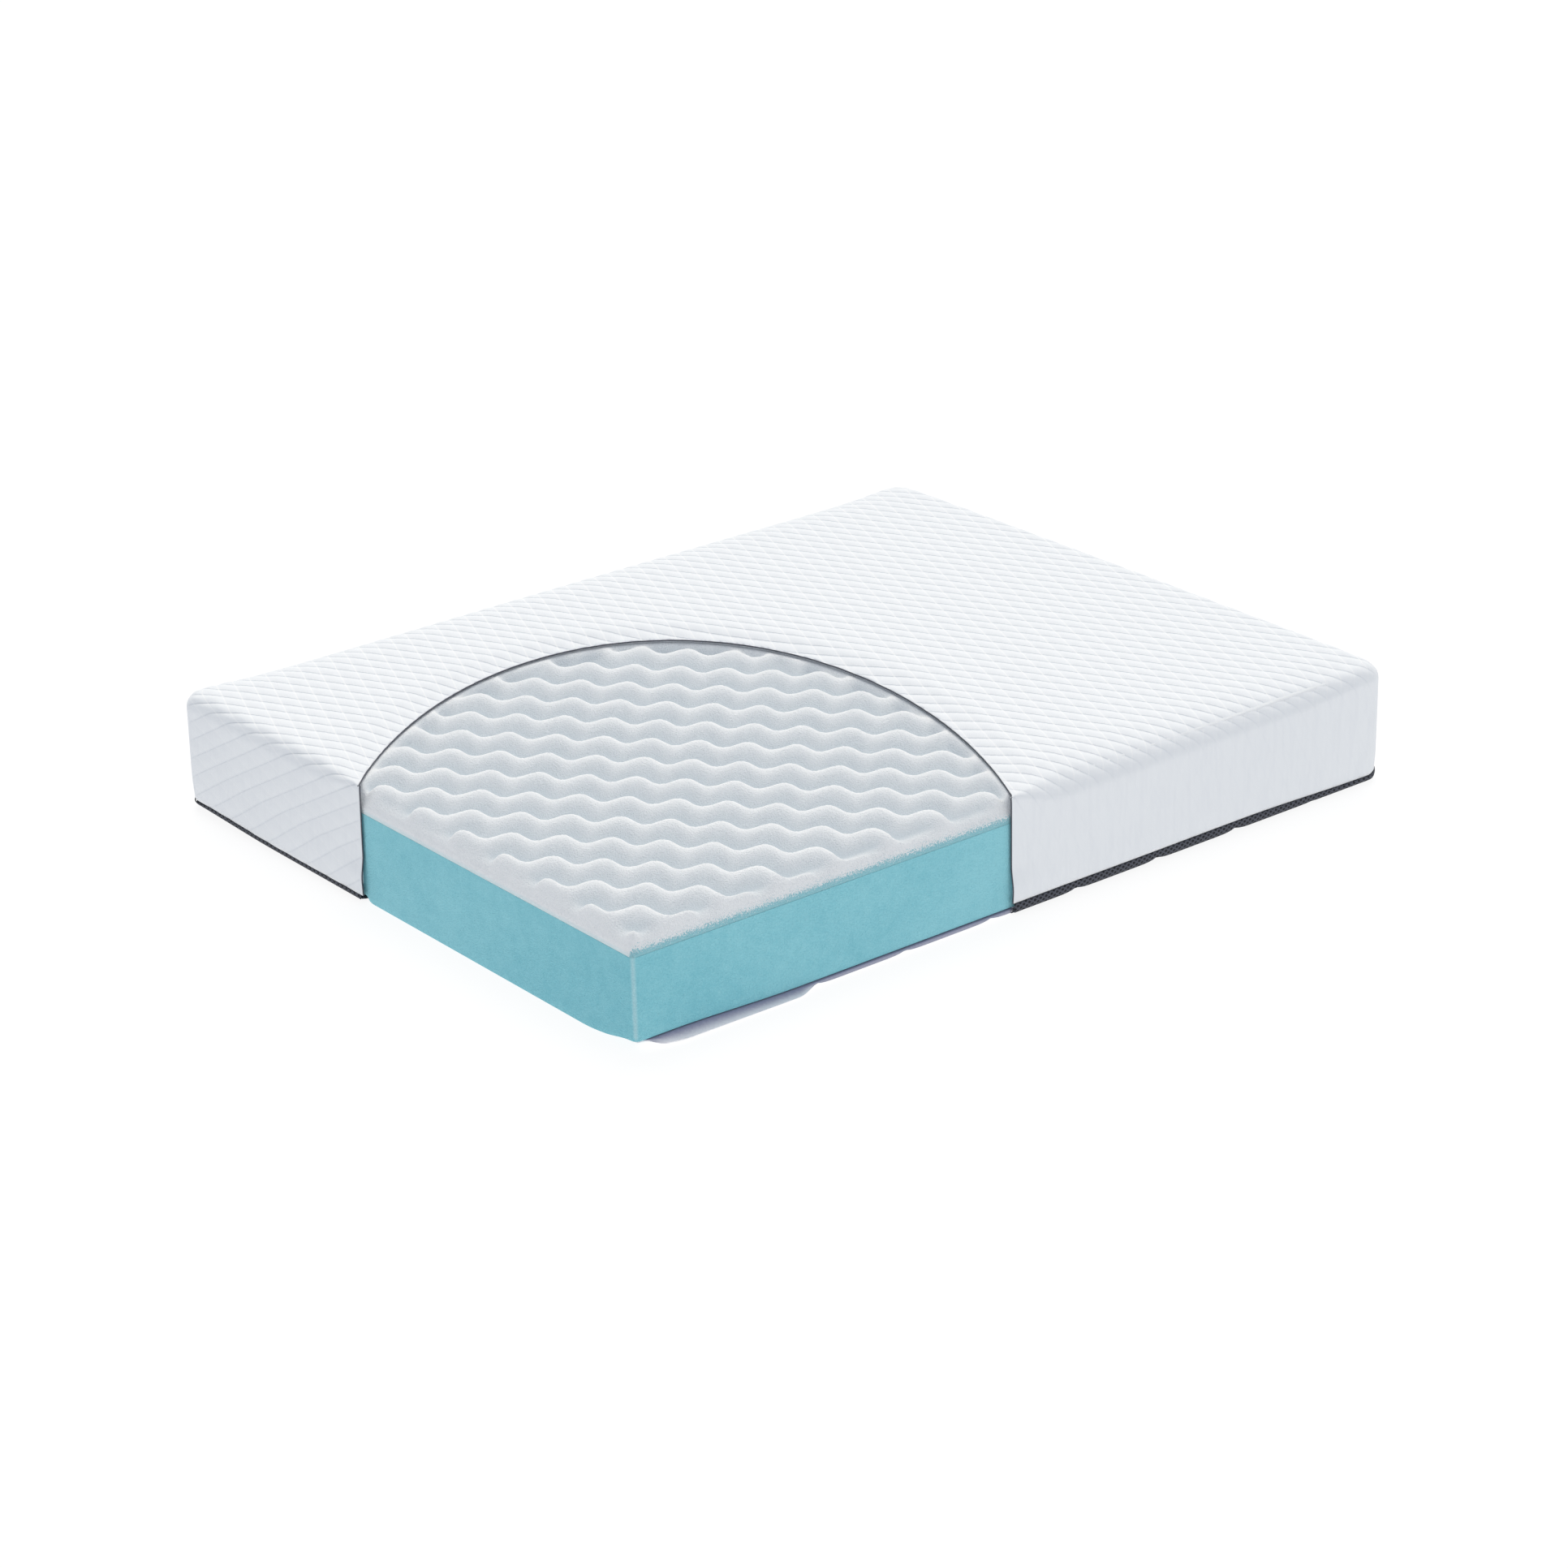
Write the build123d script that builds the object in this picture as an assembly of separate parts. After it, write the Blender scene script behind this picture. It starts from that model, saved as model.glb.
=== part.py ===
from build123d import *
import math
import os

# Overall size of the mattress in plan, with its rounded corners and top edge
length = 2000.0
width = 1600.0
corner_radius = 50.0
top_edge_radius = 45.0
top_crown = 6.0

# Fabric layers of the cover, from the outside in
knit_thickness = 2.0
cover_wadding_thickness = 7.0
cover_backing_thickness = 1.0
layer_gap = 0.3

# Foams: a plain block, a glue line, and a layer with wavy ridges on its top
core_height = 185.0
core_edge_radius = 12.0
bond_thickness = 0.6
bond_inset = 6.0
comfort_height = 54.0
ridge_height = 20.0
ridge_pitch = 100.0
valley_width = 4.0
ridge_sink = 3.0
ridge_margin = 50.0
ridge_taper = 45.0
ridge_tip_width = 30.0
ridge_tip_height = 1.0
ridge_angle = -48.0
ridge_offset = 36.0
bend_length = 100.0
bend_reach = 14.0
bend_offset = -5.0

# Base panel, quilted in channels across the width and pressed flat where it rests
channel_count = 9
channel_depth = 9.0
rest_depth = 0.5
base_mesh_thickness = 2.5
base_wadding_thickness = 1.7
base_backing_thickness = 1.0
thread_radius = 0.6
thread_end_gap = 3.0
border_thickness = 2.0
border_height = 20.0
border_lift = 1.0

# Zip between the base border and the cover's hem
zip_window = 11.0
hem_clearance = 1.0
zip_corner_ease = 8.0
tape_thickness = 1.0
tape_width = 14.0
tape_clearance = 0.2
coil_thickness = 2.6
coil_height = 2.4
coil_gap = 1.6

# Zip slider, parked near one end of the back side, and its pull
slider_length = 12.0
slider_from_end = 100.0
slider_clearance = 0.35
plate_thickness = 1.4
post_length = 4.0
post_clearance = 0.3
lip_clearance = 0.3
arch_length = 9.0
arch_width = 2.0
arch_wall = 1.0
pull_bar_radius = 0.8
pull_play = 0.3
pull_arm_width = 1.2
pull_thickness = 1.2
pull_arm_length = 7.0
pull_length = 26.0
pull_width = 8.0
pull_corner_radius = 3.0

# Cutaway at the front corner: an ellipse in plan, bound along its edge
cut_long_radius = 1238.0
cut_short_radius = 695.0
cut_turn = 56.7
cut_from_end = 224.0
cut_from_side = 136.0
binding_width = 6.0
binding_depth = 4.0

# Heights of the stack, from the floor up
mesh_seam_top = channel_depth + base_mesh_thickness
base_wadding_top = mesh_seam_top + layer_gap + base_wadding_thickness
core_bottom = base_wadding_top + base_backing_thickness
core_top = core_bottom + core_height
comfort_bottom = core_top + bond_thickness
comfort_top = comfort_bottom + comfort_height
ridge_foot = comfort_top - ridge_height
backing_top = comfort_top + layer_gap + cover_backing_thickness
wadding_bottom = backing_top + layer_gap
knit_top = wadding_bottom + cover_wadding_thickness + layer_gap + knit_thickness

# Distances in from the outer face
wadding_inset = knit_thickness + layer_gap
wadding_inner_inset = wadding_inset + cover_wadding_thickness
backing_inset = wadding_inner_inset + layer_gap
backing_inner_inset = backing_inset + cover_backing_thickness
foam_inset = backing_inner_inset + layer_gap
mesh_inset = border_thickness + layer_gap
coil_overhang = (coil_thickness - tape_thickness) / 2
side_tape_inset = max(knit_thickness, border_thickness) + tape_clearance
end_tape_inset = knit_thickness + layer_gap + coil_overhang

# Heights of the hems and of the zip
side_hem = border_height + zip_window
end_hem = border_height + hem_clearance
chain_height = border_height + zip_window / 2
lower_coil_bottom = chain_height - coil_gap / 2 - coil_height
upper_coil_top = chain_height + coil_gap / 2 + coil_height
upper_tape_top = upper_coil_top + tape_width
wadding_hem = upper_tape_top + layer_gap


def outline(inset):
    return RectangleRounded(length - 2 * inset, width - 2 * inset, corner_radius - inset)


def prism(inset, bottom, top):
    return Pos(0, 0, bottom) * extrude(outline(inset), top - bottom)


def rounded_top(block, inset):
    top_face = block.faces().sort_by(Axis.Z)[-1]
    return fillet(top_face.edges(), top_edge_radius - inset)


def flat_form(inset, bottom, top):
    return rounded_top(prism(inset, bottom, top), inset)


def crowned_form(inset, bottom):
    # A large sphere swells the top, and each layer keeps its depth below the outer face
    half_diagonal = math.hypot(length / 2 - corner_radius, width / 2 - corner_radius) + corner_radius
    sphere_radius = (half_diagonal ** 2 + top_crown ** 2) / (2 * top_crown)
    sphere_centre = Pos(0, 0, knit_top + top_crown - sphere_radius)
    sphere = sphere_centre * Rot(0, 90, 0) * Sphere(sphere_radius - inset)
    return rounded_top(prism(inset, bottom, knit_top + top_crown) & sphere, inset)


def cutaway(margin):
    ellipse = Ellipse(cut_long_radius - margin, cut_short_radius - margin)
    place = Pos(cut_from_end - length / 2, cut_from_side - width / 2) * Rot(0, 0, cut_turn)
    return extrude(place * ellipse, 2 * knit_top, both=True)


def side_hem_cuts():
    # The hem is higher along the long sides, where the zip shows
    run = length - 2 * corner_radius
    block = Box(run, 2 * foam_inset, 2 * side_hem)
    return [Pos(0, side * width / 2, 0) * block for side in (-1, 1)]


def cover_knit():
    shell = crowned_form(0, end_hem) - crowned_form(knit_thickness, 0)
    return shell - side_hem_cuts() - cutaway(0)


def cover_wadding():
    shell = crowned_form(wadding_inset, wadding_hem) - flat_form(wadding_inner_inset, 0, wadding_bottom)
    return shell - cutaway(0)


def cover_backing():
    inner_top = backing_top - cover_backing_thickness
    shell = flat_form(backing_inset, wadding_hem, backing_top) - flat_form(backing_inner_inset, 0, inner_top)
    return shell - cutaway(0)


def cover_cut_binding():
    rim = crowned_form(0, end_hem) - crowned_form(binding_depth, 0)
    return (rim & (cutaway(0) - cutaway(binding_width))) - side_hem_cuts()


def support_core():
    block = prism(foam_inset, core_bottom, core_top)
    lower_edges = block.faces().sort_by(Axis.Z)[0].edges()
    return fillet(lower_edges, core_edge_radius)


def bond_film():
    return prism(foam_inset + bond_inset, core_top, comfort_bottom)


def ridge_span(line):
    # Stretch of a ridge's centre line that keeps its margin from the foam's edges
    slope = math.radians(ridge_angle)
    half_x = length / 2 - foam_inset - ridge_margin
    half_y = width / 2 - foam_inset - ridge_margin
    ends_x = [(side * half_x + line * math.sin(slope)) / math.cos(slope) for side in (-1, 1)]
    ends_y = [(side * half_y - line * math.cos(slope)) / math.sin(slope) for side in (-1, 1)]
    return max(min(ends_x), min(ends_y)), min(max(ends_x), max(ends_y))


def ridge_section(run, line, height, wide):
    # An arc over a chord that is sunk into the layer, swung to one side by the bend
    swing = math.sqrt(2) * bend_reach * math.cos(2 * math.pi * (run - bend_offset) / bend_length)
    middle = line + swing
    chord = ridge_foot - ridge_sink
    arc = ThreePointArc((middle - wide / 2, chord), (middle, ridge_foot + height), (middle + wide / 2, chord))
    plane = Plane(origin=(run, 0, 0), x_dir=(0, 1, 0), z_dir=(1, 0, 0))
    return plane * make_face(arc + Line(arc @ 1, arc @ 0))


def ridge(line, start, stop):
    # Each bend is a short straight to one side, a slant, and a short straight to the other side
    quarter = bend_length / 4
    first_turn = bend_offset + quarter / 2
    first = math.ceil((start + ridge_taper - first_turn) / quarter)
    last = math.floor((stop - ridge_taper - first_turn) / quarter)
    sections = [ridge_section(start, line, ridge_tip_height, ridge_tip_width)]
    for step in range(first, last + 1):
        run = first_turn + step * quarter
        sections.append(ridge_section(run, line, ridge_height, ridge_pitch - valley_width))
    sections.append(ridge_section(stop, line, ridge_tip_height, ridge_tip_width))
    return loft(sections, ruled=True)


def comfort_layer():
    # A slab under the cover's rounded edge, with a ridge for each line that is long enough
    rounded = flat_form(foam_inset, comfort_bottom, comfort_top)
    layer = rounded & prism(0, comfort_bottom, ridge_foot)
    ridge_reach = math.ceil(math.hypot(length, width) / ridge_pitch / 2)
    ridges = []
    for count in range(-ridge_reach, ridge_reach + 1):
        line = ridge_offset + count * ridge_pitch
        start, stop = ridge_span(line)
        if stop - start > 2 * ridge_taper + bend_length:
            ridges.append(Rot(0, 0, ridge_angle) * ridge(line, start, stop))
    return layer + ridges


def sewn_line(count):
    # The first and the last line lie just past the ends of the mattress
    return (count / channel_count - 0.5) * (length + 2 * border_thickness)


def channel_arcs(lift):
    # One arc per channel, from sewn line to sewn line
    sewn = channel_depth + lift
    arcs = []
    for channel in range(channel_count):
        start = sewn_line(channel)
        stop = sewn_line(channel + 1)
        arcs.append(ThreePointArc((start, sewn), ((start + stop) / 2, lift - rest_depth), (stop, sewn)))
    return arcs


def above_channels(lift, top):
    sewn = channel_depth + lift
    first = sewn_line(0)
    last = sewn_line(channel_count)
    rim = Polyline((last, sewn), (last, top), (first, top), (first, sewn))
    profile = Plane.XZ * make_face(Curve() + channel_arcs(lift) + rim)
    return extrude(profile, width / 2 + border_thickness, both=True)


def base_mesh_panel():
    slab = above_channels(0, base_wadding_top) - above_channels(base_mesh_thickness, core_bottom)
    return slab & prism(mesh_inset, 0, base_wadding_top)


def zip_loop(depth):
    # The zip lies deeper at the short ends and in the corners, behind their longer hem
    run = length - 2 * (end_tape_inset + depth)
    span = width - 2 * (side_tape_inset + depth)
    return RectangleRounded(run, span, corner_radius + zip_corner_ease - depth)


def base_fill():
    # The filling and the lining lie just inside the lower zip tape
    return extrude(zip_loop(tape_thickness + layer_gap), core_bottom)


def base_wadding():
    return above_channels(base_mesh_thickness + layer_gap, base_wadding_top) & base_fill()


def base_backing():
    return base_fill() - prism(0, 0, base_wadding_top)


def base_border():
    ring = prism(0, 0, border_height) - prism(border_thickness, 0, border_height)
    return (ring & above_channels(border_lift, border_height)) - cutaway(0)


def base_channel_threads():
    thread_length = width - 2 * (mesh_inset + thread_end_gap)
    height = channel_depth - thread_radius - layer_gap
    thread = Rot(90, 0, 0) * Cylinder(thread_radius, thread_length)
    lines = [sewn_line(count) for count in range(1, channel_count)]
    return Compound([Pos(line, 0, height) * thread for line in lines])


def zip_ring(depth, thickness, bottom, top):
    ring = extrude(zip_loop(depth) - zip_loop(depth + thickness), top - bottom)
    return Pos(0, 0, bottom) * ring - cutaway(0)


def upper_zip_tape():
    return zip_ring(0, tape_thickness, upper_coil_top, upper_tape_top)


def upper_zip_coil():
    return zip_ring(-coil_overhang, coil_thickness, upper_coil_top - coil_height, upper_coil_top)


def lower_zip_tape():
    return zip_ring(0, tape_thickness, mesh_seam_top + layer_gap, lower_coil_bottom)


def lower_zip_coil():
    return zip_ring(-coil_overhang, coil_thickness, lower_coil_bottom, lower_coil_bottom + coil_height)


# The slider's own frame: X along the chain, Y outwards, Z up, with its origin inside the chain
chain_inset = side_tape_inset + tape_thickness / 2
slider_place = Pos(length / 2 - slider_from_end, width / 2 - chain_inset, chain_height)
channel_half = coil_thickness / 2 + slider_clearance
slider_height = zip_window - 2 * hem_clearance
plate_face = channel_half + plate_thickness
bar_height = plate_face + pull_play + pull_bar_radius


def block(x_range, y_range, z_range):
    spans = [x_range, y_range, z_range]
    sizes = [high - low for low, high in spans]
    middles = [(high + low) / 2 for low, high in spans]
    return Pos(*middles) * Box(*sizes)


def zip_slider():
    # Two plates, the post between the coils, lips under the lower coil, and the arch for the pull
    half_length = slider_length / 2
    half_height = slider_height / 2
    lip_top = lower_coil_bottom - chain_height - lip_clearance
    lip_face = tape_thickness / 2 + slider_clearance
    post_half = coil_gap / 2 - post_clearance
    body = Part()
    for side in (-1, 1):
        plate_span = sorted((side * channel_half, side * plate_face))
        lip_span = sorted((side * lip_face, side * channel_half))
        body += block((-half_length, half_length), plate_span, (-half_height, half_height))
        body += block((-half_length, half_length), lip_span, (-half_height, lip_top))
    post_start = half_length - post_length
    body += block((post_start, half_length), (-channel_half, channel_half), (-post_half, post_half))
    arch_eye_top = bar_height + pull_bar_radius + pull_play
    arch_top = arch_eye_top + arch_wall
    arch_half = arch_width / 2
    eye_half = arch_length / 2 - arch_wall
    arch = block((-arch_length / 2, arch_length / 2), (plate_face, arch_top), (-arch_half, arch_half))
    body += arch - block((-eye_half, eye_half), (plate_face, arch_eye_top), (-arch_half, arch_half))
    return slider_place * body


def zip_pull():
    # A bar through the arch, two arms beside it and a tab that lies along the chain
    arm_inner = arch_width / 2 + pull_play
    arm_outer = arm_inner + pull_arm_width
    arm_span = (-pull_thickness / 2, pull_thickness / 2)
    pull = Cylinder(pull_bar_radius, 2 * arm_outer)
    for low, high in ((arm_inner, arm_outer), (-arm_outer, -arm_inner)):
        pull += block((-pull_arm_length, 0), arm_span, (low, high))
    half_width = pull_width / 2
    tab = block((-pull_length, -pull_arm_length), arm_span, (-half_width, half_width))
    end_corners = tab.edges().filter_by(Axis.Y).sort_by(Axis.X)[:2]
    pull += fillet(end_corners, pull_corner_radius)
    return slider_place * Pos(0, bar_height, 0) * pull


makers = [
    cover_knit, cover_wadding, cover_backing, cover_cut_binding,
    support_core, bond_film, comfort_layer,
    base_mesh_panel, base_wadding, base_backing, base_border, base_channel_threads,
    upper_zip_tape, upper_zip_coil, lower_zip_tape, lower_zip_coil,
    zip_slider, zip_pull,
]

os.makedirs("parts", exist_ok=True)
for maker in makers:
    export_step(maker(), f"parts/{maker.__name__}.step")
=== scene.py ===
import bpy
import bmesh
import math
from mathutils import Matrix, Vector, noise


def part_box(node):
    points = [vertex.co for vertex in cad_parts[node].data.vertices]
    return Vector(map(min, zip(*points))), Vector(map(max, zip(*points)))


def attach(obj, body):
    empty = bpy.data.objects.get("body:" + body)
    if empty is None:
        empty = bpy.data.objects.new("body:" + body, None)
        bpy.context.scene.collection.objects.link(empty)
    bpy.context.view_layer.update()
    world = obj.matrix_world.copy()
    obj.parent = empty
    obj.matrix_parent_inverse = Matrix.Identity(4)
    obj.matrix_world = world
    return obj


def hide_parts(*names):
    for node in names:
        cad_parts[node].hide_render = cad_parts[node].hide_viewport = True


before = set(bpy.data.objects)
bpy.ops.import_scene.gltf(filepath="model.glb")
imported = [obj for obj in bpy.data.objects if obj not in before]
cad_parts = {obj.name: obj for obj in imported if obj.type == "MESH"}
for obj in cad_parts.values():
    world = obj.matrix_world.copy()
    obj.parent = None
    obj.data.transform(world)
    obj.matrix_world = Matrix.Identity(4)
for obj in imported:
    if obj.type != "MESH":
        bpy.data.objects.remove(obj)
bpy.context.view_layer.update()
scene = bpy.context.scene
print("frame loaded,", len(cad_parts), "nodes")


# a socket that turns Python expressions into Math nodes
class Wire:
    def __init__(self, finish, shaderNode, out=0):
        self.finish = finish
        self.shaderNode = shaderNode
        self.socket = shaderNode.outputs[out]

    def out(self, name):
        return Wire(self.finish, self.shaderNode, name)

    def maths(self, operation, *values):
        return self.finish.node("ShaderNodeMath", {"operation": operation}, dict(enumerate(values)))

    def __add__(self, other):
        return self.maths("ADD", self, other)

    def __radd__(self, other):
        return self.maths("ADD", other, self)

    def __sub__(self, other):
        return self.maths("SUBTRACT", self, other)

    def __rsub__(self, other):
        return self.maths("SUBTRACT", other, self)

    def __mul__(self, other):
        return self.maths("MULTIPLY", self, other)

    def __rmul__(self, other):
        return self.maths("MULTIPLY", other, self)

    def __truediv__(self, other):
        return self.maths("DIVIDE", self, other)

    def __rtruediv__(self, other):
        return self.maths("DIVIDE", other, self)

    def __pow__(self, other):
        return self.maths("POWER", self, other)

    def __abs__(self):
        return self.maths("ABSOLUTE", self)

    def sine(self):
        return self.maths("SINE", self)

    def wave(self, length):
        return (self * (2 * math.pi / length)).sine()

    def atMost(self, other):
        return self.maths("MINIMUM", self, other)

    def atLeast(self, other):
        return self.maths("MAXIMUM", self, other)

    def limit(self):
        return self.atLeast(0).atMost(1)

    def above(self, other):
        return self.maths("GREATER_THAN", self, other)

    def ease(self, low, high):
        return self.finish.node("ShaderNodeMapRange", {"interpolation_type": "SMOOTHSTEP"},
                                {0: self, 1: low, 2: high})


# a procedural material around one Principled shader
class Finish:
    def __init__(self, name, constants):
        self.material = bpy.data.materials.new(name)
        self.material.use_nodes = True
        self.tree = self.material.node_tree
        self.shader = self.tree.nodes["Principled BSDF"]
        self.feed(constants)

    def link(self, socket, value):
        if isinstance(value, Wire):
            self.tree.links.new(value.socket, socket)
        else:
            socket.default_value = value

    def feed(self, sockets):
        for key, value in sockets.items():
            self.link(self.shader.inputs[key], value)

    def node(self, kind, settings=None, sockets=None, out=0):
        made = self.tree.nodes.new(kind)
        for key, value in (settings or {}).items():
            setattr(made, key, value)
        for key, value in (sockets or {}).items():
            self.link(made.inputs[key], value)
        return Wire(self, made, out)

    def place(self, name="Object"):
        return self.node("ShaderNodeTexCoord", out=name)

    def attribute(self, name):
        return self.node("ShaderNodeAttribute", {"attribute_name": name}, out="Fac")

    def split(self, vector):
        parts = self.node("ShaderNodeSeparateXYZ", None, {0: vector})
        return parts.out("X"), parts.out("Y"), parts.out("Z")

    def join(self, x, y, z):
        return self.node("ShaderNodeCombineXYZ", None, {0: x, 1: y, 2: z})

    def grain(self, vector, size, detail=2.0, rough=0.5):
        return self.node("ShaderNodeTexNoise", None,
                         {"Vector": vector, "Scale": 1.0 / size, "Detail": detail, "Roughness": rough})

    def cells(self, vector, size):
        return self.node("ShaderNodeTexVoronoi", None, {"Vector": vector, "Scale": 1.0 / size}, "Distance")

    def tint(self, mask, low, high):
        return self.node("ShaderNodeMix", {"data_type": "RGBA"}, {0: mask, 6: low, 7: high}, 2)

    def bump(self, height):
        return self.node("ShaderNodeBump", None, {"Height": height, "Strength": 1.0, "Distance": 1.0})

    def paint(self, mask, look, height):
        # one tone to another by the mask, over a bumpy surface
        self.feed({"Base Color": self.tint(mask, look["from"], look["to"]), "Normal": self.bump(height)})
        return self


# plan of the mattress, the corner that is cut away and the channels of the base, as the frame has them
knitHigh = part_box("cover_knit")[1]
plan = {"halfLength": knitHigh[0], "halfWidth": knitHigh[1], "corner": 0.05, "frontBlend": 0.009, "tiny": 1e-7}
cutaway = {"x": -0.7054, "y": -0.5805, "long": 1.1352, "short": 0.6713, "turn": math.radians(57.2), "rounds": 4,
           "leanFrom": (0.93, 0.985), "leanReach": 0.09, "leanShift": 0.005, "leanSlope": 0.03,
           "leanGap": 0.004, "gapFrom": 0.9}
channels = {"count": 9, "run": 2 * (plan["halfLength"] + 0.002), "depth": 0.009, "rest": 0.0005}


def smooth(low, high, value):
    t = max(0.0, min(1.0, (value - low) / (high - low)))
    return t * t * (3 - 2 * t)


def mix(start, stop, share):
    return start + (stop - start) * share


def cutValue(x, y):
    # below 1 inside the cutaway, with the slope of the value
    c, s = math.cos(cutaway["turn"]), math.sin(cutaway["turn"])
    dx, dy = x - cutaway["x"], y - cutaway["y"]
    a = (dx * c + dy * s) / cutaway["long"]
    b = (dy * c - dx * s) / cutaway["short"]
    slope = Vector((a * c / cutaway["long"] - b * s / cutaway["short"],
                    a * s / cutaway["long"] + b * c / cutaway["short"], 0)) * 2
    return a * a + b * b, slope


def cutDistance(x, y):
    # how far a point lies outside the cutaway, in metres
    value, slope = cutValue(x, y)
    return (value - 1) / slope.length


def pastCut(x, y):
    # whether the low edges are still there, as the cut leans a little on the short end
    return cutDistance(x, y) > cutaway["leanGap"] * (x < -cutaway["gapFrom"])


def rimDistance(x, y):
    # how far a point lies inside the rounded plan
    a = abs(x) - plan["halfLength"] + plan["corner"]
    b = abs(y) - plan["halfWidth"] + plan["corner"]
    return plan["corner"] - (math.hypot(a, b) if a > 0 and b > 0 else max(a, b))


def channelDrop(x):
    # 0 on a sewn line of the base, 1 in the middle of a channel
    phase = (x / channels["run"] + 0.5) * channels["count"] % 1
    return 1 - (2 * phase - 1) ** 2


def wallSlide(bm, hx, hy, corner, edge, top, front=None):
    # rounds the flat box of a bmesh: corners in plan, the front one by itself if asked, then the top edge
    for v in bm.verts:
        x, y, z = v.co
        roll = edge(x, y) if callable(edge) else edge
        bend = corner
        if front and x < 0 and y < 0:
            bend = front + max(0.0, roll - front) * smooth(top - roll - plan["frontBlend"], top - roll, z)
        cx = max(bend - hx, min(hx - bend, x))
        cy = max(bend - hy, min(hy - bend, y))
        dx, dy = x - cx, y - cy
        reach = max(abs(dx), abs(dy))
        if reach < plan["tiny"]:
            continue
        size = math.hypot(dx, dy)
        inward = bend - reach
        a, b = roll - inward, roll - (top - z)
        if a > 0 and b > 0:
            k = max(a, b) / math.hypot(a, b)
            inward = roll - a * k
            z = top - roll + b * k
        v.co = (cx + dx / size * (bend - inward), cy + dy / size * (bend - inward), z)


def openBox(hx, hy, top, bottom, cell):
    # a grid with its rim drawn down in rows: a box without a floor
    bm = bmesh.new()
    bmesh.ops.create_grid(bm, x_segments=round(2 * hx / cell), y_segments=round(2 * hy / cell), size=1)
    bmesh.ops.scale(bm, vec=(hx, hy, 1), verts=bm.verts)
    bmesh.ops.translate(bm, vec=(0, 0, top), verts=bm.verts)
    rows = round((top - bottom) / cell)
    rim = [e for e in bm.edges if e.is_boundary]
    for row in range(rows):
        made = bmesh.ops.extrude_edge_only(bm, edges=rim)["geom"]
        rim = [e for e in made if isinstance(e, bmesh.types.BMEdge) and e.is_boundary]
        lower = list({v for e in rim for v in e.verts})
        bmesh.ops.translate(bm, vec=(0, 0, (bottom - top) / rows), verts=lower)
    return bm


def closeRim(bm):
    bmesh.ops.contextual_create(bm, geom=[e for e in bm.edges if e.is_boundary])


def cutCorner(bm, back=0.0):
    # drops the faces inside the cutaway and draws the rest onto its line, or a little behind it
    inside = {v: cutDistance(v.co.x, v.co.y) < back for v in bm.verts}
    gone = [f for f in bm.faces if all(inside[v] for v in f.verts)]
    bmesh.ops.delete(bm, geom=gone, context="FACES")
    bm.normal_update()
    edgeVerts = [v for v in bm.verts if inside[v]]
    for v in edgeVerts:
        normal = v.normal.copy()
        for step in range(cutaway["rounds"]):
            slope = cutValue(v.co.x, v.co.y)[1]
            slide = slope - normal * slope.dot(normal)
            v.co -= slide * ((cutDistance(v.co.x, v.co.y) - back) * slope.length / slope.dot(slide))
    for v in bm.verts:
        near = smooth(*cutaway["leanFrom"], -v.co.x)
        near *= 1 - smooth(0.0, cutaway["leanReach"], cutDistance(v.co.x, v.co.y))
        v.co.y += near * (cutaway["leanShift"] - cutaway["leanSlope"] * v.co.z)
    return edgeVerts


def routeAlong(points):
    # a curve object through the points
    route = bpy.data.curves.new("route", "CURVE")
    route.dimensions = "3D"
    spline = route.splines.new("POLY")
    spline.points.add(len(points) - 1)
    for spot, p in zip(spline.points, points):
        spot.co = (p.x, p.y, p.z, 1)
    return bpy.data.objects.new("route", route)


def tubeAlong(points, radius):
    # the mesh of a round cord through the points
    carrier = routeAlong(points)
    carrier.data.bevel_depth = radius
    carrier.data.bevel_resolution = 2
    carrier.data.use_fill_caps = True
    mesh = bpy.data.meshes.new_from_object(carrier)
    bpy.data.objects.remove(carrier)
    return mesh


def addPiece(name, bm, body, slotName, finish, *nodes):
    mesh = bpy.data.meshes.new(name)
    bm.to_mesh(mesh)
    bm.free()
    mesh.shade_smooth()
    mesh.materials.append(finish.material)
    piece = bpy.data.objects.new(name, mesh)
    scene.collection.objects.link(piece)
    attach(piece, body)
    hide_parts(*nodes)
    print(name, len(mesh.polygons), "faces")
    return piece


def addWall(piece, thickness, rimOnly=False):
    wall = piece.modifiers.new("wall", "SOLIDIFY")
    wall.thickness = thickness
    wall.offset = -1
    wall.use_even_offset = True
    wall.use_rim = True
    wall.use_rim_only = rimOnly


def dressNode(node, finish):
    # a CAD node that keeps its shape
    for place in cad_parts[node].material_slots:
        place.material = finish.material


# cover: quilted knit over wadding and lining, cut open at the front corner and bound along the cut
cover = {"knitCell": 0.0066, "knitWall": 0.002, "layerCell": 0.011, "waddingWall": 0.007, "liningWall": 0.001,
         "liningGap": 0.0003, "flatInside": (0.4, 0.9), "tuckBack": 0.004, "cord": 0.0014, "longSide": 0.7,
         "sideEdge": 0.048, "endEdge": 0.032, "cutEdge": 0.010, "endEdgeFrom": (0.70, 0.94), "cutEdgeReach": 0.12,
         "backHem": 0.031, "frontHem": 0.0285, "endHem": 0.0195, "backHemFrom": (0.915, 0.985),
         "frontHemFrom": (0.58, 0.965), "cornerRise": 0.006, "riseAcross": (0.45, 0.8), "riseAlong": (0.95, 0.995),
         "hemBlend": 0.12, "hemIn": 0.0022, "hemInTop": 0.07, "wallOut": 0.0015,
         "crown": 0.006, "crownSpread": 1.6, "crownDeep": 0.05, "droop": 0.010, "droopWide": 0.11,
         "droopEndFrom": (0.80, 0.97), "droopEndLess": 0.6, "droopCutLeft": 0.4,
         "press": 0.010, "wallPress": 0.0065, "pressReach": 0.075, "pressFlat": (0.2, 0.9), "pressRim": 0.10,
         "wallPressFrom": (0.048, 0.11)}
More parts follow.
